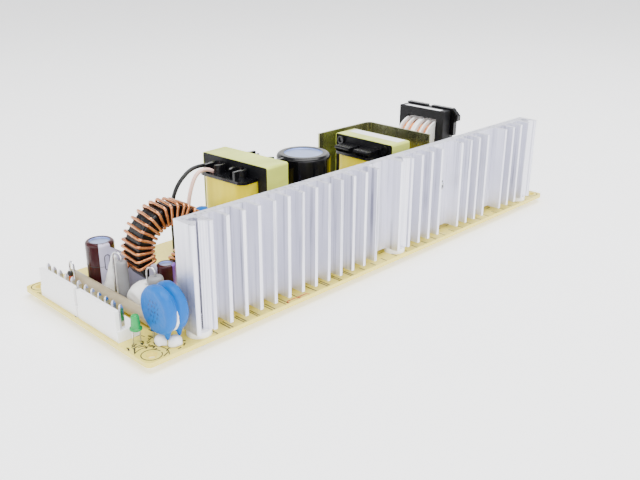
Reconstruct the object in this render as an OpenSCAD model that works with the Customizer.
// Open frame switching power supply.
// One circuit board carries a finned heatsink along one long edge, two output
// headers at one end, an input header at the other, and the wound parts,
// capacitors and power devices between them.
// Frame: +X from the output end to the input end, +Y away from the heatsink
// edge, +Z up. The origin is the centre of the board's underside.
// Places are given from the board's corner between the output end and the
// heatsink edge, and heights from the board's top face.

/* [Board] */
// Length of the board
board_l = 222; // [218:1:240]
// Width of the board
board_w = 75; // [73:1:90]
// Thickness of the board
board_t = 1.6; // [1.2:0.1:2.4]
// Corner radius of the board
board_r = 2; // [0.5:0.5:3]
// Mounting hole centre from the two board edges
mount_inset = 4; // [3.5:0.1:5]
// Diameter of a mounting hole
mount_d = 3.5; // [3:0.1:4]

/* [Heatsink] */
// Heatsink's near end from the output end of the board
sink_x = 18.2; // [18:0.1:22]
// Fin tips from the heatsink edge of the board
sink_y = 0.2; // [0:0.1:1]
// Height of the extrusion
sink_h = 35.4; // [30:0.2:45]
// Height of the spacers under the heatsink
sink_lift = 1.9; // [1:0.1:3]
// Thickness of the heatsink's base wall
wall_t = 3.2; // [2.4:0.1:4]
// Length of a fin from the base wall to its tip
fin_l = 5.8; // [4.5:0.1:7]
// Thickness of a fin
fin_t = 1.4; // [1:0.1:2]
// Pitch of the fins
fin_pitch = 6.25; // [6:0.05:6.6]
// Pitch across a wide bay that takes a device screw
bay_pitch = 13.5; // [12:0.1:14]
// Fins in each group between the bays
fin_groups = [14, 5, 4, 5];
// Diameter of the screw bore in a screw port
port_d = 2.9; // [2.5:0.1:3.2]
// Width of the slit that opens a screw port
port_slit = 0.7; // [0.4:0.1:1.2]
// Start of a screw port's groove, back from the fin tips
port_groove = 0.9; // [0.5:0.1:1.5]
// Height of the device screws above the board
device_z = 19.6; // [17:0.1:24]

/* [Headers] */
// Pin pitch of the output and input headers
pin_pitch = 3.96; // [3.9:0.02:4]
// Width of a square header pin
pin_w = 1.14; // [0.9:0.02:1.3]
// Height of the pin tips
pin_h = 11.4; // [11:0.1:14]
// Depth of a header housing
header_depth = 7.75; // [7:0.05:9]
// Height of the housing's base
header_base_h = 3.6; // [2.5:0.1:5]
// Height of the housing's locking wall
header_wall_h = 10.4; // [9:0.1:11]
// Thickness of the locking wall
header_wall_t = 1.3; // [1:0.1:1.6]
// Housing's outer face from the board's end
header_edge = 0.95; // [0.5:0.05:1.5]

/* [Output toroid] */
// Outer radius of the toroid's core
ring_ro = 14.1; // [13:0.1:14.2]
// Inner radius of the toroid's core
ring_ri = 8.8; // [8:0.1:9.5]
// Width of the toroid's core along its axis
ring_w = 8.4; // [7:0.1:8.6]
// Diameter of the winding wire
wire_d = 1; // [0.7:0.05:1.1]
// Number of turns
turns = 26; // [18:1:28]
// Arc of the core that the winding covers
wound_arc = 258; // [240:1:300]

/* [Transformers] */
// Width of the main transformer's core
core_w = 34.8; // [31:0.2:36]
// Width of the second transformer's core
second_w = 31; // [29:0.2:32]
// Turn of the main transformer on the board
main_turn = 3.5; // [0:0.5:5]
// Thickness of a transformer core
core_t = 10.8; // [10:0.2:12]
// Height of a transformer core
core_h = 28.4; // [26:0.2:31]
// Width of an outer leg and height of a yoke
core_leg = 4.9; // [4:0.1:5.4]
// Width of the centre leg
core_mid = 9.7; // [8:0.1:10.4]
// Height of the bobbin's foot under the core
foot_h = 6.4; // [5:0.1:8]
// How far a winding stands out past its core
coil_out = 7.2; // [6:0.1:8.2]
// Wall of a bobbin
bobbin_t = 1.2; // [0.8:0.1:1.4]
// Thickness of the tape round a core
tape_t = 0.2; // [0.1:0.05:0.3]

/* [Screen and line choke] */
// Height of the screen plate
screen_h = 35; // [25:0.5:40]
// Thickness of the screen plate
screen_t = 0.8; // [0.6:0.1:1.6]
// Width of the line choke's core
choke_w = 26.6; // [26:0.2:28]
// Thickness of the line choke's core
choke_t = 5.6; // [4.5:0.1:6]
// Bar of the line choke's core
choke_bar = 4.4; // [4:0.1:4.6]
// Height of the line choke's core top
choke_top = 35.5; // [34.5:0.1:38]
// Radius of the line choke's bobbin flanges
flange_r = 11; // [10:0.1:11.2]
// How far the line choke's clip stands out past its core
ear_out = 4; // [2:0.2:5]

/* [Capacitors] */
// Diameter of the bulk capacitor
bulk_d = 21.8; // [20:0.1:22]
// Height of the bulk capacitor
bulk_h = 33; // [25:0.5:40]
// Diameter of the output capacitors
out_cap_d = 10; // [8:0.5:10]
// Height of the output capacitors
out_cap_h = 15.6; // [12:0.2:20]
// Diameter of the small capacitor
small_cap_d = 6.3; // [4:0.1:6.5]
// Height of the small capacitor
small_cap_h = 13.4; // [9:0.2:16]
// Wall of a capacitor's sleeve
sleeve_t = 0.25; // [0.15:0.05:0.4]
// Diameter of the large disc capacitors
disc_d = 15.4; // [12:0.2:15.6]
// Thickness of the large disc capacitors
disc_t = 3.7; // [3.2:0.1:4.4]
// Height of the large discs' centre
disc_z = 11; // [10:0.1:12]

/* [Small parts] */
// Diameter of the bus jumper's sleeve
bus_d = 4.2; // [3:0.1:4.4]
// Diameter of the bus jumper's wire
bus_wire_d = 1.6; // [1:0.1:2]
// Diameter of the indicator lamp
lamp_d = 3; // [2.8:0.1:3.2]
// Diameter of a sleeved part
sleeved_d = 3.9; // [3:0.1:3.9]
// Diameter of the sleeved part beside the discs
second_sleeved_d = 5.2; // [3:0.1:5.4]
// Height of the sleeved part beside the toroid
sleeved_h = 14; // [11:0.2:16]
// Height of the sleeved part beside the discs
second_sleeved_h = 11.4; // [9:0.2:14]
// Diameter of component leads
lead_d = 0.7; // [0.5:0.05:0.9]
// How far solder joints stand under the board
solder_h = 1.4; // [1:0.1:2]

/* [Hidden] */
$fn = 48;
fit = 0.1;

// ---- places from the board's corner ----
module at(x, y, z = 0) translate([x - board_l / 2, y - board_w / 2, board_t + z]) children();
module at_far(x, y, z = 0) at(board_l - x, y, z) children();

// ---- heatsink layout ----
function sum(v, n, i = 0) = i < n ? v[i] + sum(v, n, i + 1) : 0;
groups = len(fin_groups);
fin_span = (sum(fin_groups, groups) - groups) * fin_pitch + (groups - 1) * bay_pitch;
sink_l = fin_span + fin_t;
// Centre of fin k in group g, from the heatsink's near end
function fin_x(g, k) =
  fin_t / 2 + (sum(fin_groups, g) - g + k) * fin_pitch + g * bay_pitch;
function port_x(g, k) = fin_x(g, k) + fin_pitch / 2;
ports = [port_x(0, 0), port_x(1, 0), port_x(3, fin_groups[3] - 2)];
bays = [for (g = [0 : groups - 2]) fin_x(g, fin_groups[g] - 1) + bay_pitch / 2];
sink_top = sink_lift + sink_h;
sink_back = sink_y + fin_l + wall_t;
port_y = fin_l - port_d / 2 + 0.3;
port_front = port_y - port_d / 2 - 0.15;
tip_r = fin_t * 0.18;
end_r = fin_t * 0.62;
spacer_d = 8;
screw_head_h = 2;
screw_head_d = port_d * 2;
screw_slot_w = 0.7;
screw_grip = 5;

// ---- devices on the heatsink ----
pad_t = 0.3;
tab_t = 1.3;
device_w = 10;
device_deep = 4.4;
device_h = 9.2;
device_hole_up = 12.8;
device_screw_d = 3;
device_screw_head_d = device_screw_d * 1.83;
// Bay whose device screw passes right through the base wall; the others end in it
through_bay = 1;
screw_tip = 1.6;
blind_wall = 0.8;
device_low = device_z - device_hole_up;
device_lead_y = sink_back + pad_t + 2.6;
device_pitch = 2.54;

// ---- headers ----
header_pins = 6;
header_len = header_pins * pin_pitch;
header_step = header_len + 0.35;
header_first = 28.4;
header_pin_x = 2.85;
header_y = [header_first, header_first + header_step];
input_y = 25;
input_len = 5 * pin_pitch;
input_pin_y = [for (k = [-2, 0, 2]) input_y + k * pin_pitch];
function header_pin_y(c) = [for (k = [0 : header_pins - 1]) c + (k - (header_pins - 1) / 2) * pin_pitch];
output_pin_y = concat(header_pin_y(header_y[0]), header_pin_y(header_y[1]));

// ---- toroid ----
ring_x = 35.5;
ring_y = 39.1;
wire_gap = 0.15;
wire_off = wire_d / 2 + wire_gap;
coil_ro = ring_ro + wire_off;
coil_ri = ring_ri - wire_off;
coil_w = ring_w + 2 * wire_off;
ring_stand = 0.95;
ring_z = coil_ro + wire_d / 2 + ring_stand;
wind_start = -62;
bend_r = 1;
wire_sides = 8;
turn_steps = 12;

// ---- transformers ----
core_lift = foot_h;
core_top = core_lift + core_h;
window_h = core_h - 2 * core_leg;
function window_w(w) = (w - core_mid - 2 * core_leg) / 2;
coil_slack = 0.8;
function coil_w_y(w) = w - 2 * core_leg - coil_slack;
coil_w_x = core_t + 2 * coil_out;
coil_r = 5;
core_r = 0.8;
window_top = core_top - core_leg;
flange_out = 0.7;
flange_corner_r = 3;
// Wire exits of the main transformer
exit_r = 3.4;
exit_t = 1.1;
exit_h = 3.4;
exit_mouth = 3;
exit_y = 5.8;
// Blocks and clips of the second transformer
block_out = coil_out + 0.8;
block_w = 7.8;
block_h = 2.2;
block_y = 5.2;
block_chamfer = 1.2;
clip_r = 1.7;
clip_t = 1.3;
clip_rim = 0.6;
clip_low = 0.5;
clip_y = second_w / 2 - 3.4;
tape_drop = core_h - 3;
foot_pins = 5;
foot_pitch = 5;
foot_row = core_t / 2 + coil_out - 1.4;
main_x = 82.3;
main_y = 52.3;
second_x = 141.2;
second_y = 38.5;
function turned(v, a) = [v[0] * cos(a) - v[1] * sin(a), v[0] * sin(a) + v[1] * cos(a)];
function foot_leads(x, y, a = 0) = [for (s = [-1, 1], k = [0 : foot_pins - 1])
  [x, y] + turned([s * foot_row, (k - (foot_pins - 1) / 2) * foot_pitch], a)];

// ---- screen plate ----
screen_x = second_x + core_t / 2 + coil_out + 7.6;
screen_y = second_y + second_w / 2 + 3.7;
screen_l = 32.4;
screen_w = 34;
screen_r = 2;

// ---- line choke ----
choke_x = 18.4;
choke_y = 57.9;
choke_mid_z = 19.3;
choke_low = choke_mid_z - choke_bar / 2;
choke_h = choke_top - choke_low;
choke_tube_r = 4.4;
choke_wire_r = 9.4;
choke_span = choke_w - 2 * choke_bar - 0.6;
choke_flange_t = 0.9;
choke_mid_t = 2.4;
choke_slot = (choke_span - 4 * choke_flange_t - choke_mid_t) / 4;
choke_slot_at = [choke_mid_t / 2, choke_mid_t / 2 + choke_slot + choke_flange_t];
choke_plate_t = 2.4;
choke_plate_gap = 0.5;

// ---- adhesive beads ----
bead_apart = 6;
bead_r = 8;
bead_h = 4.6;
tall_bead_r = 6.4;
tall_bead_h = 9;
cone_r = 4.6;
cone_tip_r = 1;
cone_h = 12.4;
fill_in = 1.4;
fill_shift = 1.1;
foot_bead_r = 2.3;
foot_bead_h = 3.2;

// ---- capacitors ----
lip_part = 0.142;
function rim_r(d) = 0.35 + 0.044 * d;
bulk_pos = [107.5, 45.7];
out_caps = [[21.5, 59], [57, 20.5], [69, 20.5]];
small_gap = 0.2;
small_pos = [28.8, ring_y - coil_w / 2 - wire_d / 2 - small_gap - small_cap_d / 2];
disc_gap = 0.5;
disc_stand = 1.9;
disc_x = [sink_x - disc_stand - disc_gap - 2 * disc_t, sink_x - disc_stand - disc_t];
disc_y = 8.2;
back_disc = [63.7, 55];
back_disc_d = 12.6;
back_disc_t = 3.8;
back_disc_z = 12.4;
disc_half_pitch = 3.75;
// How far a disc's coating runs down its leads, below the disc's lowest point
disc_run = 0.9;
function run_h(d) = d / 2 - sqrt(d * d / 4 - disc_half_pitch * disc_half_pitch) + 1.4;
// Gap under a can, and depth of the recess in its top
can_low = 0.3;
film_pos = [board_l - 39.5, 66];
film_size = [17.5, 8.5, 14.6];
film_half_pitch = 7.5;

// ---- small parts ----
bus_x = 14.2;
bus_from = 18.5;
bus_to = 67.6;
bus_z = bus_d / 2 + 0.3;
lamp_pos = [5.2, 13.3];
lamp_z = 4.4;
lamp_flange_d = 3.8;
lamp_flange_h = 1;
lamp_body_h = 3.9;
lamp_top_d = lamp_d * 0.82;
lead_half_pitch = 1.27;
diode_pos = [11.2, 62.4];
diode_d = 1.9;
diode_z = 2;
diode_l = 4.2;
diode_top = 10.2;
sleeved_pos = [[(bus_x + bus_d / 2 + ring_x - coil_ro - wire_d / 2) / 2, 40.3], [22.4, 27.2]];
sleeved_heights = [sleeved_h, second_sleeved_h];
sleeved_ds = [sleeved_d, second_sleeved_d];
sleeved_z = 0.6;
sleeved_bend = 2.6;
sleeved_loop = [-1, 3.5];
chips = [[104, 24], [118, 24]];
chip_size = [9.6, 6.4, 3.4];
chip_row = 3.81;
chip_lift = 0.6;
chip_pitch = 2.54;
chip_lead_z = chip_lift + chip_size[2] * 0.42;
bridge_pos = [board_l - 30, 17.4];
bridge_size = [20, 4.6, 13];
bridge_lift = 3.5;
bridge_pitch = 5.08;
fuse_far = [22, 38.2];
fuse_d = 5.2;
fuse_l = 19;
fuse_cap_l = 4.6;
fuse_z = fuse_d / 2 + 0.4;
fuse_half_pitch = fuse_l / 2 + 1.6;

// ---- every lead that passes through the board: [x, y, diameter] ----
function with_d(points, d) = [for (p = points) [p[0], p[1], d]];
function pair_x(p, h) = [[p[0] - h, p[1]], [p[0] + h, p[1]]];
function pair_y(p, h) = [[p[0], p[1] - h], [p[0], p[1] + h]];
function join(lists) = [for (v = lists) each v];
pin_round = pin_w * 1.45;
output_leads = [for (y = output_pin_y) [header_edge + header_pin_x, y]];
input_leads = [for (y = input_pin_y) [board_l - header_edge - header_pin_x, y]];
device_leads_at = [for (b = bays, k = [-1 : 1]) [sink_x + b + k * device_pitch, device_lead_y]];
cap_leads = concat(pair_x(bulk_pos, 5), join([for (c = out_caps) pair_x(c, 2.5)]), pair_x(small_pos, 1));
disc_leads_at = concat(
  join([for (x = disc_x) pair_y([x + disc_t / 2, disc_y], disc_half_pitch)]),
  pair_y(back_disc, disc_half_pitch));
film_leads = pair_x(film_pos, film_half_pitch);
chip_leads_at = [for (c = chips, s = [-1, 1], k = [-1.5 : 1.5]) [c[0] + k * chip_pitch, c[1] + s * chip_row]];
bridge_leads = [for (k = [-1.5 : 1.5]) [bridge_pos[0] + k * bridge_pitch, bridge_pos[1]]];
fuse_leads = pair_x([board_l - fuse_far[0], fuse_far[1]], fuse_half_pitch);
bus_ends = [[bus_x, bus_from - bus_wire_d], [bus_x, bus_to + bus_wire_d]];
lamp_leads_at = pair_x(lamp_pos, lead_half_pitch);
diode_leads_at = [diode_pos, [diode_pos[0] - 0.2, diode_pos[1] - 3.2]];
sleeved_leads_at = join([for (p = sleeved_pos) [p, p + sleeved_loop]]);
turn_pitch = wound_arc / (turns - 1);
// The wire moves on by most of one pitch behind the core and by the rest over the outside
behind = 0.7;
wind_first = turn_steps - 3;
wind_last = (turns + 1) * turn_steps - 4;
function wind_angle(i) =
  wind_start + turn_pitch * (floor(i / turn_steps) - 1 + (i % turn_steps < turn_steps - 3 ? 0 : behind));
ring_lead_x = [for (i = [wind_first, wind_last + 1]) coil_ro * cos(wind_angle(i))];
ring_leads = [for (x = ring_lead_x) [ring_x + x, ring_y + coil_w / 2]];
cable_d = 1.5;
dark_end = [53.6, 61];
pale_end = [58.4, 57.6];
thin_leads = join([device_leads_at, cap_leads, disc_leads_at, film_leads, chip_leads_at, bridge_leads,
  fuse_leads, lamp_leads_at, diode_leads_at, sleeved_leads_at, foot_leads(main_x, main_y, main_turn),
  foot_leads(second_x, second_y)]);
all_leads = join([with_d(thin_leads, lead_d), with_d(concat(output_leads, input_leads), pin_round),
  with_d(ring_leads, wire_d), with_d([dark_end, pale_end], cable_d), with_d(bus_ends, bus_wire_d)]);

// ---- free leads of the main transformer ----
dark_route = [
  [74.3, 58.4, 30.4], [73.1, 59.8, 31.5], [71, 60.8, 32.2], [68.2, 61, 32.5], [65.2, 61, 32.4],
  [62.6, 61, 31.7], [60.4, 61, 30.4], [58.4, 61, 28.8], [56.7, 61, 26.9], [55.4, 61, 24.8],
  [54.4, 61, 22.2], [53.8, 61, 18.6], [53.6, 61, 14], [53.6, 61, 8], [53.6, 61, 3.4], [53.6, 61, -1.6]];
pale_route = [
  [75.2, 56.6, 26.6], [73.6, 57.2, 28.4], [71.6, 57.6, 30], [69.4, 57.6, 31.3], [67, 57.6, 31.9],
  [65, 57.6, 31.7], [63.3, 57.6, 30.8], [61.9, 57.6, 29.1], [60.8, 57.6, 26.9], [59.8, 57.6, 24.2],
  [59, 57.6, 21.2], [58.6, 57.6, 17], [58.4, 57.6, 12], [58.4, 57.6, 7], [58.4, 57.6, 3.4],
  [58.4, 57.6, -1.6]];

// ---- helpers ----
module rounded(l, w, r) {
  hull() for (x = [r, l - r], y = [r, w - r]) translate([x, y]) circle(r, $fn = 32);
}
// Square with one radius on all four corners, centred, made of plain shapes
module soft_square(w, h, r) {
  square([w - 2 * r, h], center = true);
  square([w, h - 2 * r], center = true);
  for (x = [-1, 1], y = [-1, 1]) translate([x * (w / 2 - r), y * (h / 2 - r)]) circle(r);
}
// Upright leads from the board's underside to a height
module stems(points, h, d = lead_d) {
  for (p = points) at(p[0], p[1], -board_t) cylinder(d = d, h = board_t + h, $fn = 24);
}
// Tube through points, with one ring of corners square to the path at each
function unit(v) = v / norm(v);
function heading(p, i) = unit(p[min(i + 1, len(p) - 1)] - p[max(i - 1, 0)]);
function ring_points(c, n, b, r, sides) =
  [for (k = [0 : sides - 1]) let (a = 360 * (k + 0.5) / sides) c + r * (cos(a) * n + sin(a) * b)];
module skin(rings, sides) {
  last = len(rings) - 1;
  faces = concat(
    [[for (k = [sides - 1 : -1 : 0]) k]],
    [for (i = [0 : last - 1], k = [0 : sides - 1])
      let (m = (k + 1) % sides) [i * sides + k, i * sides + m, (i + 1) * sides + m, (i + 1) * sides + k]],
    [[for (k = [0 : sides - 1]) last * sides + k]]);
  polyhedron(points = [for (r = rings) each r], faces = faces, convexity = 10);
}
// Wire that rises at a, bends over at the top and comes down at b
loop_steps = 8;
loop_sides = 8;
function loop_path(a, b, top, foot) =
  let (r = norm(b - a) / 2, m = (a + b) / 2, dir = unit(b - a))
  concat([[a[0], a[1], foot]],
    [for (k = [0 : loop_steps]) let (w = 180 * k / loop_steps, p = m - dir * r * cos(w))
      [p[0], p[1], top - r + r * sin(w)]],
    [[b[0], b[1], -board_t]]);
module loop_wire(a, b, top, d, foot = -board_t) {
  path = loop_path(a, b, top, foot);
  side = cross([b[0] - a[0], b[1] - a[1], 0], [0, 0, 1]);
  at(0, 0) tube(path, [for (p = path) side], d, loop_sides);
}
module tube(path, normals, d, sides) {
  rings = [for (i = [0 : len(path) - 1])
    let (t = heading(path, i), b = unit(cross(t, normals[i])), n = cross(b, t))
    ring_points(path[i], n, b, d / 2, sides)];
  skin(rings, sides);
}

// ---- board and solder ----
module board() {
  color("khaki") difference() {
    translate([-board_l / 2, -board_w / 2, 0]) linear_extrude(board_t) rounded(board_l, board_w, board_r);
    for (x = [mount_inset, board_l - mount_inset], y = [mount_inset, board_w - mount_inset])
      at(x, y, -board_t - 1) cylinder(d = mount_d, h = board_t + 2);
    for (p = ports) at(sink_x + p, sink_y + port_y, -board_t - 1)
      cylinder(d = port_d + fit, h = board_t + 2);
    for (l = all_leads) at(l[0], l[1], -board_t - 1) cylinder(d = l[2] + fit, h = board_t + 2, $fn = 24);
  }
}
module solder_joints() {
  color("silver") for (l = all_leads) at(l[0], l[1], -board_t - solder_h)
    cylinder(r1 = l[2] * 0.42, r2 = l[2] / 2 + 0.45, h = solder_h, $fn = 24);
}

// ---- heatsink and its fasteners ----
// Fin with its tip at y = 0 and a radius at each side of the tip
module fin(x, near_r, far_r) {
  deep = max(near_r, far_r);
  translate([x - fin_t / 2, deep]) square([fin_t, fin_l]);
  translate([x - fin_t / 2 + near_r, 0]) square([fin_t - near_r - far_r, deep + 0.1]);
  translate([x - fin_t / 2 + near_r, near_r]) circle(near_r, $fn = 24);
  translate([x + fin_t / 2 - far_r, far_r]) circle(far_r, $fn = 24);
  translate([x - fin_t / 2, near_r]) square([fin_t / 2, deep + 0.1]);
  translate([x, far_r]) square([fin_t / 2, deep + 0.1]);
}
module sink_profile() {
  difference() {
    union() {
      translate([0, fin_l]) square([sink_l, wall_t]);
      for (g = [0 : groups - 1], k = [0 : fin_groups[g] - 1])
        fin(fin_x(g, k), g + k == 0 ? end_r : tip_r, g == groups - 1 && k == fin_groups[g] - 1 ? end_r : tip_r);
      for (p = ports) translate([p, 0]) polygon([
        [-fin_pitch / 2, fin_l + 1], [-fin_pitch / 2, port_groove], [(fin_t - fin_pitch) / 2, port_groove],
        [0, port_front], [(fin_pitch - fin_t) / 2, port_groove], [fin_pitch / 2, port_groove],
        [fin_pitch / 2, fin_l + 1]]);
    }
    for (p = ports) translate([p, port_y]) circle(d = port_d);
    for (p = ports) translate([p - port_slit / 2, 0]) square([port_slit, port_y]);
  }
}
module heatsink() {
  color("gainsboro") difference() {
    at(sink_x, sink_y, sink_lift) linear_extrude(sink_h) sink_profile();
    for (k = [0 : len(bays) - 1]) at(sink_x + bays[k], sink_back + 1, device_z) rotate([90, 0, 0])
      cylinder(d = device_screw_d + fit, h = 1 + (k == through_bay ? wall_t + 1 : wall_t - blind_wall));
  }
}
module sink_spacers() {
  color("white") for (p = ports) at(sink_x + p, sink_y + port_y) difference() {
    cylinder(d = spacer_d, h = sink_lift);
    translate([0, 0, -1]) cylinder(d = port_d + fit, h = sink_lift + 2);
  }
}
module sink_screws() {
  color("silver") for (p = ports) at(sink_x + p, sink_y + port_y, -board_t) {
    translate([0, 0, -screw_head_h]) difference() {
      cylinder(d1 = screw_head_d * 0.76, d2 = screw_head_d, h = screw_head_h);
      for (a = [0, 90]) rotate(a) translate([-screw_head_d * 0.28, -screw_slot_w / 2, -1])
        cube([screw_head_d * 0.56, screw_slot_w, 1 + screw_head_h / 2]);
    }
    cylinder(d = port_d - fit, h = board_t + sink_lift + screw_grip);
  }
}

// ---- devices ----
module each_device() {
  for (b = bays) at(sink_x + b, sink_back, device_z) children();
}
module device_pads() {
  color("lightgray") each_device() difference() {
    translate([-device_w / 2 - 1, 0, -device_hole_up - 1]) cube([device_w + 2, pad_t, device_hole_up + 5]);
    translate([0, -1, 0]) rotate([-90, 0, 0]) cylinder(d = device_screw_d + fit, h = 3);
  }
}
module device_tabs() {
  color("silver") each_device() difference() {
    translate([-device_w / 2, pad_t, -device_hole_up]) cube([device_w, tab_t, device_hole_up + 2.8]);
    translate([0, -1, 0]) rotate([-90, 0, 0]) cylinder(d = device_screw_d + 6 * fit, h = 4);
  }
}
module device_bodies() {
  color("dimgray") each_device() translate([0, pad_t + tab_t, -device_hole_up]) rotate([90, 0, 90])
    translate([0, 0, -device_w / 2]) linear_extrude(device_w)
      polygon([[0, 0], [device_deep - tab_t, 0.4], [device_deep - tab_t, device_h - 0.6], [0, device_h]]);
}
module device_leads() {
  color("silver") stems(device_leads_at, device_low);
}
module device_screws() {
  reach = pad_t + tab_t + wall_t;
  color("silver") for (k = [0 : len(bays) - 1])
    at(sink_x + bays[k], sink_back + pad_t + tab_t, device_z) rotate([90, 0, 0]) {
      cylinder(d = device_screw_d - fit, h = reach + (k == through_bay ? screw_tip : -blind_wall - fit));
      translate([0, 0, -screw_head_h])
        cylinder(d1 = device_screw_head_d * 0.84, d2 = device_screw_head_d, h = screw_head_h);
    }
}

// ---- headers ----
// Housing across Y, its locking wall at x = 0
module housing(n) {
  len_y = n * pin_pitch - 0.4;
  difference() {
    union() {
      translate([0, -len_y / 2, 0]) cube([header_depth, len_y, header_base_h]);
      rotate([90, 0, 90]) linear_extrude(header_wall_t)
        translate([0, header_wall_h / 2]) soft_square(len_y - 1.1, header_wall_h, 0.5);
      translate([header_wall_t, -len_y / 2 + 1.2, header_wall_h - 2])
        rotate([-90, 0, 0]) linear_extrude(len_y - 2.4) polygon([[0, 0], [0.6, -0.6], [0, -1.4]]);
    }
    for (k = [0 : n - 1]) translate([header_pin_x, (k - (n - 1) / 2) * pin_pitch, header_base_h / 2])
      cube([pin_w, pin_w, header_base_h + 1], center = true);
  }
}
module header_pin() {
  tip = 0.35;
  z = pin_h + board_t;
  side = [[-pin_w / 2, 0], [pin_w / 2, 0], [pin_w / 2, z - 1], [pin_w / 2 - tip, z],
    [-pin_w / 2 + tip, z], [-pin_w / 2, z - 1]];
  translate([0, 0, -board_t]) intersection() {
    rotate([90, 0, 0]) linear_extrude(pin_w, center = true) polygon(side);
    rotate([90, 0, 90]) linear_extrude(pin_w, center = true) polygon(side);
  }
}
module output_headers() {
  color("white") for (y = header_y) at(header_edge, y) housing(header_pins);
}
module output_pins() {
  color("silver") for (p = output_leads) at(p[0], p[1]) header_pin();
}
module input_header() {
  color("white") at_far(header_edge, input_y) mirror([1, 0, 0]) difference() {
    housing(5);
    for (k = [-1, 1]) translate([header_pin_x, k * pin_pitch, header_base_h / 2])
      cube([pin_w, pin_w, header_base_h + 2], center = true);
  }
}
module input_pins() {
  color("silver") for (p = input_leads) at(p[0], p[1]) header_pin();
}

// ---- toroid ----
module toroid_core() {
  color("black") at(ring_x, ring_y, ring_z) rotate([90, 0, 0]) rotate_extrude($fn = 96)
    translate([(ring_ro + ring_ri) / 2, 0]) soft_square(ring_ro - ring_ri, ring_w, 0.8);
}
// One turn's section: [radius, along the axis, outward angle] round the core
turn_arc = [0, 45, 90];
function turn_corner(r, w, a) =
  [for (s = turn_arc) [r + bend_r * cos(a + s), w + bend_r * sin(a + s), a + s]];
turn_section = concat(
  turn_corner(coil_ro - bend_r, coil_w / 2 - bend_r, 0), turn_corner(coil_ri + bend_r, coil_w / 2 - bend_r, 90),
  turn_corner(coil_ri + bend_r, -coil_w / 2 + bend_r, 180), turn_corner(coil_ro - bend_r, -coil_w / 2 + bend_r, 270));
function wind_point(i) =
  let (s = turn_section[i % turn_steps], a = wind_angle(i)) [s[0] * cos(a), -s[1], s[0] * sin(a)];
function wind_normal(i) =
  let (s = turn_section[i % turn_steps], a = wind_angle(i)) [cos(s[2]) * cos(a), -sin(s[2]), cos(s[2]) * sin(a)];
module toroid_winding() {
  base = -ring_z - board_t;
  ends = [for (i = [wind_first, wind_last + 1]) coil_ro * sin(wind_angle(i)) - bend_r];
  path = concat(
    [[ring_lead_x[0], coil_w / 2, base], [ring_lead_x[0], coil_w / 2, min(ends[0], -coil_ro + bend_r)]],
    [for (i = [wind_first : wind_last]) wind_point(i)],
    [[ring_lead_x[1], coil_w / 2, ends[1]], [ring_lead_x[1], coil_w / 2, base]]);
  normals = concat(
    [[0, 1, 0], [0, 1, 0]],
    [for (i = [wind_first : wind_last]) wind_normal(i)],
    [[0, 1, 0], [0, 1, 0]]);
  color("peru") at(ring_x, ring_y, ring_z) tube(path, normals, wire_d, wire_sides);
}

// ---- adhesive beads ----
module mound(x, y, r, h) {
  ball = (r * r + h * h) / (2 * h);
  at(x, y, h - ball) intersection() {
    sphere(ball);
    translate([0, 0, ball - h / 2]) cube([2 * ball, 2 * ball, h], center = true);
  }
}
// Everything that the beads flow round, a little larger than it is
module bead_neighbours() {
  at(ring_x, ring_y, ring_z) rotate([90, 0, 0])
    cylinder(r = coil_ro + wire_d / 2 + fit, h = coil_w + wire_d + 2 * fit, center = true, $fn = 96);
  at(out_caps[0][0], out_caps[0][1], -1) cylinder(d = out_cap_d + fit, h = out_cap_h + 2);
  at(small_pos[0], small_pos[1], -1) cylinder(d = small_cap_d + fit, h = small_cap_h + 2);
  for (k = [0, 1]) at(sleeved_pos[k][0], sleeved_pos[k][1], -1)
    cylinder(d = sleeved_ds[k] + fit, h = sleeved_heights[k] + 2);
  for (p = sleeved_leads_at) at(p[0], p[1], -1) cylinder(d = lead_d + fit, h = sleeved_h + 2);
  at(bus_x - bus_d / 2, 0, -1) cube([bus_d + fit, board_w, bus_d + 3]);
  for (p = ring_leads) at(p[0], p[1], -1) cylinder(d = wire_d + 2 * fit, h = ring_z);
}
module adhesive() {
  color("ivory") difference() {
    union() {
      for (s = [-1, 1]) mound(ring_x + s * bead_apart, ring_y - 1, bead_r, bead_h);
      mound(ring_x - coil_ro + 1, ring_y - 7, tall_bead_r, tall_bead_h);
      mound(ring_x - 6.5, ring_y - 5, tall_bead_r, tall_bead_h - 2);
      at(out_caps[0][0] + 0.2, out_caps[0][1] - out_cap_d / 2 - 3.2)
        cylinder(r1 = cone_r, r2 = cone_tip_r, h = cone_h);
    }
    bead_neighbours();
  }
  // Filling between and under the large discs
  color("ivory") difference() {
    union() {
      at(disc_x[1] - disc_gap - fill_in, disc_y - fill_shift, disc_z - fill_shift) rotate([0, 90, 0])
        cylinder(r = disc_d / 2 - 1.6 * fill_shift, h = disc_gap + 2 * fill_in);
      mound(disc_x[0] + disc_t / 2, disc_y - 0.6, foot_bead_r, foot_bead_h);
      mound(disc_x[1] - disc_gap / 2, disc_y - 4, foot_bead_r, foot_bead_h);
    }
    for (x = disc_x) disc(x, disc_y, disc_z, disc_d, disc_t);
    for (x = disc_x, s = [-1, 1]) at(x + disc_t / 2, disc_y + s * disc_half_pitch, -1)
      cylinder(d = lead_d + fit, h = disc_z);
    at(sink_x - fit, -1, -1) cube([board_w, board_w, sink_h]);
    at(bus_x - bus_d / 2 - fit, bus_from - 2 * bus_wire_d, -1) cube([bus_d + 2 * fit, board_w, bus_d + 3]);
  }
}

// ---- transformers ----
module wound_core(w) {
  translate([-core_t / 2, 0, core_lift + core_h / 2]) rotate([90, 0, 90]) linear_extrude(core_t) difference() {
    soft_square(w, core_h, core_r);
    for (s = [-1, 1]) translate([s * (core_mid + window_w(w)) / 2, 0])
      square([window_w(w), window_h], center = true);
  }
}
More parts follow.
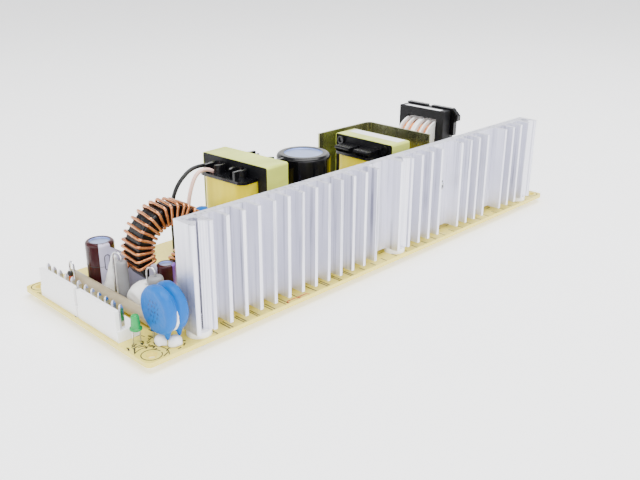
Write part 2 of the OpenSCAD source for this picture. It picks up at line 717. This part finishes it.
// Bobbin with its tube, flanges and feet, for a core of width w
module bobbin(w) {
  tube_z = core_lift + core_leg;
  difference() {
    union() {
      translate([0, 0, tube_z]) linear_extrude(window_h)
        soft_square(core_t + 2 * bobbin_t, core_mid + 2 * bobbin_t, 0.6);
      for (z = [0, window_h - bobbin_t]) translate([0, 0, tube_z + z]) linear_extrude(bobbin_t)
        soft_square(coil_w_x + 2 * flange_out, coil_w_y(w), flange_corner_r);
      for (s = [-1, 1]) translate([s * (core_t / 2 + coil_out / 2 + 0.45), 0, tube_z / 2])
        cube([coil_out + 0.5, w - 4, tube_z], center = true);
    }
    translate([-core_t / 2, -core_mid / 2, 0]) cube([core_t, core_mid, core_top]);
  }
}
// Two round wire exits, each open towards the outside, on the bobbin's top flange
module exit_collars(s) {
  translate([s * (core_t / 2 + fit), 0, window_top]) for (y = [-1, 1]) translate([s * exit_r, y * exit_y, 0]) {
    difference() {
      cylinder(r = exit_r, h = exit_h);
      translate([0, 0, -1]) cylinder(r = exit_r - exit_t, h = exit_h + 2);
      translate([s * exit_r, 0, exit_h / 2]) cube([exit_r, exit_mouth, exit_h + 2], center = true);
    }
    translate([s * (coil_out - exit_r + flange_out) / 2, y * (exit_mouth + exit_t) / 2, exit_h / 2])
      cube([coil_out - exit_r + flange_out - 2 * fit, exit_t, exit_h], center = true);
  }
}
// Two flat-topped blocks on the bobbin's top flange
module exit_blocks(s) {
  translate([s * (core_t / 2 + fit), 0, window_top]) for (y = [-1, 1]) translate([0, y * block_y, 0])
    rotate([90, 0, 0]) linear_extrude(block_w, center = true)
      polygon([[0, 0], [s * (block_out - block_chamfer), 0], [s * block_out, block_chamfer],
        [s * block_out, block_h - 0.5], [s * (block_out - 0.5), block_h], [0, block_h]]);
}
// Round clips that stand on the flange and hold the core's yoke
module yoke_clips(s) {
  eye_z = core_top - clip_low - clip_r;
  for (y = [-1, 1]) translate([s * (core_t / 2 + fit), y * clip_y, 0]) rotate([0, s * 90, 0]) difference() {
    union() {
      translate([-s * eye_z, 0, 0]) cylinder(r = clip_r, h = clip_t);
      translate([s > 0 ? -eye_z : window_top, -clip_rim, 0]) cube([eye_z - window_top, 2 * clip_rim, clip_t]);
    }
    translate([-s * eye_z, 0, clip_t / 2]) cylinder(r = clip_r - clip_rim, h = clip_t);
  }
}
module coil(w) {
  low = core_lift + core_leg + bobbin_t;
  translate([0, 0, low]) linear_extrude(window_h - 2 * bobbin_t) difference() {
    soft_square(coil_w_x, coil_w_y(w) - 0.6, coil_r);
    square([core_t + 2 * bobbin_t, core_mid + 2 * bobbin_t], center = true);
  }
}
module core_tape(w) {
  translate([-core_t / 2 - 0.2, 0, core_top - tape_drop / 2]) rotate([90, 0, 90])
    linear_extrude(core_t + 0.4) difference() {
      translate([0, tape_t]) soft_square(w + 2 * tape_t, tape_drop, core_r + tape_t / 2);
      soft_square(w, tape_drop, core_r);
      translate([0, -tape_drop / 2]) square([w, tape_drop], center = true);
    }
}
module main_core() color("black") at(main_x, main_y) rotate(main_turn) wound_core(core_w);
module main_bobbin() {
  color("dimgray") at(main_x, main_y) rotate(main_turn) {
    bobbin(core_w);
    for (s = [-1, 1]) exit_collars(s);
  }
}
module main_coil() color("gold") at(main_x, main_y) rotate(main_turn) coil(core_w);
module main_tape() color("palegreen") at(main_x, main_y) rotate(main_turn) core_tape(core_w);
module main_pins() color("silver") stems(foot_leads(main_x, main_y, main_turn), 0);
module second_core() color("black") at(second_x, second_y) wound_core(second_w);
module second_bobbin() {
  color("dimgray") at(second_x, second_y) {
    bobbin(second_w);
    for (s = [-1, 1]) {
      exit_blocks(s);
      yoke_clips(s);
    }
  }
}
module second_coil() color("gold") at(second_x, second_y) coil(second_w);
module second_tape() color("palegreen") at(second_x, second_y) core_tape(second_w);
module second_pins() color("silver") stems(foot_leads(second_x, second_y), 0);

// ---- free leads ----
module free_lead(route) {
  at(0, 0) tube(route, [for (p = route) [0, 1, 0]], cable_d, 8);
}
module dark_lead() color("black") free_lead(dark_route);
module pale_lead() color("mistyrose") free_lead(pale_route);

// ---- screen plate ----
module screen_plate() {
  color("darkgray") at(screen_x - screen_l, screen_y - screen_w) linear_extrude(screen_h) {
    translate([0, screen_w]) square([screen_l - screen_r, screen_t]);
    translate([screen_l, 0]) square([screen_t, screen_w - screen_r]);
    translate([screen_l - screen_r, screen_w - screen_r]) intersection() {
      difference() {
        circle(screen_r + screen_t);
        circle(screen_r);
      }
      square(screen_r + screen_t);
    }
  }
}

// ---- line choke ----
module choke_core() {
  color("black") at_far(choke_x + choke_t / 2, choke_y, choke_low + choke_h / 2) rotate([90, 0, 90])
    linear_extrude(choke_t) difference() {
      soft_square(choke_w, choke_h, 0.6);
      square([choke_w - 2 * choke_bar, choke_h - 2 * choke_bar], center = true);
    }
}
module choke_bobbin() {
  color("whitesmoke") at_far(choke_x, choke_y) difference() {
    union() {
      translate([0, 0, choke_mid_z]) rotate([-90, 0, 0]) {
        cylinder(r = choke_tube_r, h = choke_span, center = true);
        cylinder(r = flange_r, h = choke_mid_t, center = true);
        for (s = [-1, 1], from = choke_slot_at)
          translate([0, 0, s * (from + choke_slot + choke_flange_t / 2)])
            cylinder(r = flange_r, h = choke_flange_t, center = true);
      }
      for (s = [-1, 1])
        translate([-6, s * (choke_span - choke_flange_t) / 2 - choke_flange_t / 2, 0])
          cube([6 + choke_t / 2, choke_flange_t, choke_mid_z]);
    }
    translate([0, 0, choke_mid_z]) cube([choke_t, choke_w, choke_bar], center = true);
  }
}
module choke_coils() {
  color("peru") at_far(choke_x, choke_y, choke_mid_z) rotate([-90, 0, 0])
    for (s = [-1, 1], from = choke_slot_at) rotate_extrude()
      translate([0, s * (from + choke_slot / 2)]) coil_half(choke_slot);
}
// Half section of one winding, its outer face ribbed by the wire
module coil_half(w) {
  wires = 3;
  pitch = w / wires;
  translate([choke_tube_r, -w / 2]) square([choke_wire_r - pitch / 2 - choke_tube_r, w]);
  for (k = [0 : wires - 1])
    translate([choke_wire_r - pitch / 2, -w / 2 + (k + 0.5) * pitch]) circle(d = pitch, $fn = 24);
}
module choke_plate() {
  deep = choke_t / 2 + choke_plate_gap;
  top = choke_top + 0.8;
  color("black") at_far(choke_x - deep, choke_y) rotate([90, 0, 90]) linear_extrude(choke_plate_t) difference() {
    union() {
      translate([-choke_w / 2, 0]) square([choke_w, top]);
      translate([-choke_w / 2, top]) polygon([[1, 0], [-0.5, 0], [-ear_out, -3.2], [-ear_out, -5.6],
        [-ear_out / 2, -6.6], [-ear_out / 2, -13], [1, -13]]);
    }
    translate([-1.5, top - 0.8]) square([3, 2]);
    translate([-choke_w / 2 + 3, 3]) square([choke_w - 6, choke_top - 7]);
  }
}

// ---- capacitors ----
// Half section of a can with a rounded top rim
module half_can(r, h, rim) {
  square([r - rim, h]);
  square([r, h - rim]);
  translate([r - rim, h - rim]) circle(rim, $fn = 32);
}
module can(p, d, h) {
  at(p[0], p[1]) rotate_extrude() difference() {
    translate([0, can_low]) half_can(d / 2 - sleeve_t, h - can_low, rim_r(d));
    translate([0, h - can_low]) square([d / 2 - lip_part * d, 1]);
  }
}
module can_sleeve(p, d, h) {
  at(p[0], p[1]) rotate_extrude() difference() {
    half_can(d / 2, h + sleeve_t, rim_r(d) + sleeve_t);
    translate([0, -1]) square([d / 2 - lip_part * d, h + 3]);
    translate([0, can_low]) half_can(d / 2 - sleeve_t, h - can_low, rim_r(d));
  }
}
module bulk_can() color("silver") can(bulk_pos, bulk_d, bulk_h);
module bulk_sleeve() color("black") can_sleeve(bulk_pos, bulk_d, bulk_h);
module small_cans() {
  color("silver") {
    for (p = out_caps) can(p, out_cap_d, out_cap_h);
    can(small_pos, small_cap_d, small_cap_h);
  }
}
module small_sleeves() {
  color("maroon") {
    for (p = out_caps) can_sleeve(p, out_cap_d, out_cap_h);
    can_sleeve(small_pos, small_cap_d, small_cap_h);
  }
}
module capacitor_leads() color("silver") stems(cap_leads, can_low);
module disc(x, y, z, d, t) {
  edge = t * 0.4;
  at(x, y, z) rotate([0, 90, 0]) rotate_extrude() difference() {
    union() {
      square([d / 2 - edge, t]);
      translate([0, edge]) square([d / 2, t - 2 * edge]);
      for (s = [edge, t - edge]) translate([d / 2 - edge, s]) circle(edge, $fn = 24);
    }
    translate([-edge, -1]) square([edge, t + 2]);
  }
  // Coating that runs down onto the leads
  for (s = [-1, 1]) at(x + t / 2, y + s * disc_half_pitch, z - d / 2 - disc_run)
    cylinder(d1 = lead_d + 0.4, d2 = t * 0.78, h = disc_run + run_h(d));
}
module disc_capacitors() {
  color("dodgerblue") {
    for (x = disc_x) disc(x, disc_y, disc_z, disc_d, disc_t);
    disc(back_disc[0] - back_disc_t / 2, back_disc[1], back_disc_z, back_disc_d, back_disc_t);
  }
}
module disc_leads() {
  color("silver") {
    for (x = disc_x) stems(pair_y([x + disc_t / 2, disc_y], disc_half_pitch), disc_z - disc_d / 2 - disc_run);
    stems(pair_y(back_disc, disc_half_pitch), back_disc_z - back_disc_d / 2 - disc_run);
  }
}
module film_capacitor() {
  color("gold") {
    at(film_pos[0], film_pos[1], 0.5) linear_extrude(film_size[2]) soft_square(film_size[0], film_size[1], 0.8);
    stems(film_leads, 0.5);
  }
}

// ---- other parts on the board ----
module bridge_rectifier() {
  color("black") at(bridge_pos[0], bridge_pos[1], bridge_lift) linear_extrude(bridge_size[2]) difference() {
    soft_square(bridge_size[0], bridge_size[1], 0.6);
    translate([bridge_size[0] / 2, -bridge_size[1] / 2]) rotate(45) square(2, center = true);
  }
  color("silver") stems(bridge_leads, bridge_lift);
}
module fuse_body() {
  color("whitesmoke") at_far(fuse_far[0], fuse_far[1], fuse_z) rotate([0, 90, 0])
    cylinder(d = fuse_d - 0.5, h = fuse_l - 2 * fuse_cap_l, center = true);
}
module fuse_ends() {
  color("silver") {
    at_far(fuse_far[0], fuse_far[1], fuse_z) for (s = [-1, 1]) {
      translate([s * (fuse_l - fuse_cap_l) / 2, 0, 0]) rotate([0, 90, 0])
        cylinder(d = fuse_d, h = fuse_cap_l, center = true);
      translate([s * (fuse_l / 2 + 0.8), 0, 0]) rotate([0, 90, 0])
        cylinder(d = lead_d, h = 1.6 + lead_d, center = true, $fn = 24);
    }
    stems(fuse_leads, fuse_z);
  }
}
module control_chips() {
  color("dimgray") for (c = chips) at(c[0], c[1], chip_lift) difference() {
    translate([-chip_size[0] / 2, -chip_size[1] / 2, 0]) cube(chip_size);
    translate([-chip_size[0] / 2, 0, chip_size[2] - 0.3]) cylinder(r = 0.8, h = 1);
  }
}
module chip_leads() {
  color("silver") for (c = chips, s = [-1, 1], k = [-1.5 : 1.5]) {
    at(c[0] + k * chip_pitch, c[1] + s * chip_row, -board_t)
      cylinder(d = lead_d, h = board_t + chip_lead_z + lead_d / 2, $fn = 24);
    at(c[0] + k * chip_pitch - 0.5, c[1] + min(s * chip_size[1] / 2, s * chip_row + s * 0.2), chip_lead_z)
      cube([1, chip_row + 0.2 - chip_size[1] / 2, 0.5]);
  }
}
module bus_sleeve() {
  color("wheat") at(bus_x, bus_from, bus_z) rotate([-90, 0, 0]) difference() {
    cylinder(d = bus_d, h = bus_to - bus_from);
    translate([0, 0, -1]) cylinder(d = bus_wire_d + fit, h = bus_to - bus_from + 2);
  }
}
module bus_wire() {
  r = bus_wire_d;
  color("silver") {
    at(bus_x, bus_from, bus_z) rotate([-90, 0, 0]) cylinder(d = bus_wire_d, h = bus_to - bus_from);
    at(bus_x, bus_from, bus_z - r) rotate([90, 0, -90]) rotate_extrude(angle = 90) translate([r, 0])
      circle(d = bus_wire_d, $fn = 24);
    at(bus_x, bus_to, bus_z - r) rotate([90, 0, 90]) rotate_extrude(angle = 90) translate([r, 0])
      circle(d = bus_wire_d, $fn = 24);
    stems(bus_ends, bus_z - r, bus_wire_d);
  }
}
module lamp() {
  color("limegreen") at(lamp_pos[0], lamp_pos[1], lamp_z) {
    cylinder(d = lamp_flange_d, h = lamp_flange_h);
    cylinder(d1 = lamp_d, d2 = lamp_top_d, h = lamp_body_h);
    translate([0, 0, lamp_body_h]) intersection() {
      sphere(d = lamp_top_d);
      translate([0, 0, lamp_top_d / 2]) cube(lamp_top_d, center = true);
    }
  }
}
module lamp_leads() color("silver") stems(lamp_leads_at, lamp_z, 0.5);
module diode_body() {
  color("orangered") at(diode_pos[0], diode_pos[1], diode_z) difference() {
    cylinder(d = diode_d, h = diode_l);
    translate([0, 0, -1]) cylinder(d = lead_d, h = diode_l + 2, $fn = 24);
  }
}
module diode_leads() {
  color("silver") loop_wire(diode_leads_at[0], diode_leads_at[1], diode_top, lead_d);
}
module sleeved_parts() {
  color("gray") for (k = [0, 1]) at(sleeved_pos[k][0], sleeved_pos[k][1], sleeved_z) difference() {
    rotate_extrude() {
      translate([0, 1]) half_can(sleeved_ds[k] / 2, sleeved_heights[k] - 1, sleeved_ds[k] * 0.22);
      half_can(sleeved_ds[k] / 2 - 0.4, 2, 0.3);
    }
    translate([0, 0, -1]) cylinder(d = lead_d, h = sleeved_heights[k] + 2, $fn = 24);
  }
}
module sleeved_leads() {
  color("silver") for (k = [0, 1])
    loop_wire(sleeved_leads_at[2 * k], sleeved_leads_at[2 * k + 1], sleeved_z + sleeved_heights[k] + sleeved_bend, lead_d);
}

board();
solder_joints();
heatsink();
sink_spacers();
sink_screws();
device_bodies();
device_tabs();
device_pads();
device_leads();
device_screws();
output_headers();
output_pins();
input_header();
input_pins();
toroid_core();
toroid_winding();
adhesive();
main_core();
main_bobbin();
main_coil();
main_tape();
main_pins();
second_core();
second_bobbin();
second_coil();
second_tape();
second_pins();
dark_lead();
pale_lead();
screen_plate();
choke_core();
choke_bobbin();
choke_coils();
choke_plate();
bulk_can();
bulk_sleeve();
small_cans();
small_sleeves();
capacitor_leads();
disc_capacitors();
disc_leads();
film_capacitor();
bridge_rectifier();
fuse_body();
fuse_ends();
control_chips();
chip_leads();
bus_sleeve();
bus_wire();
lamp();
lamp_leads();
diode_body();
diode_leads();
sleeved_parts();
sleeved_leads();
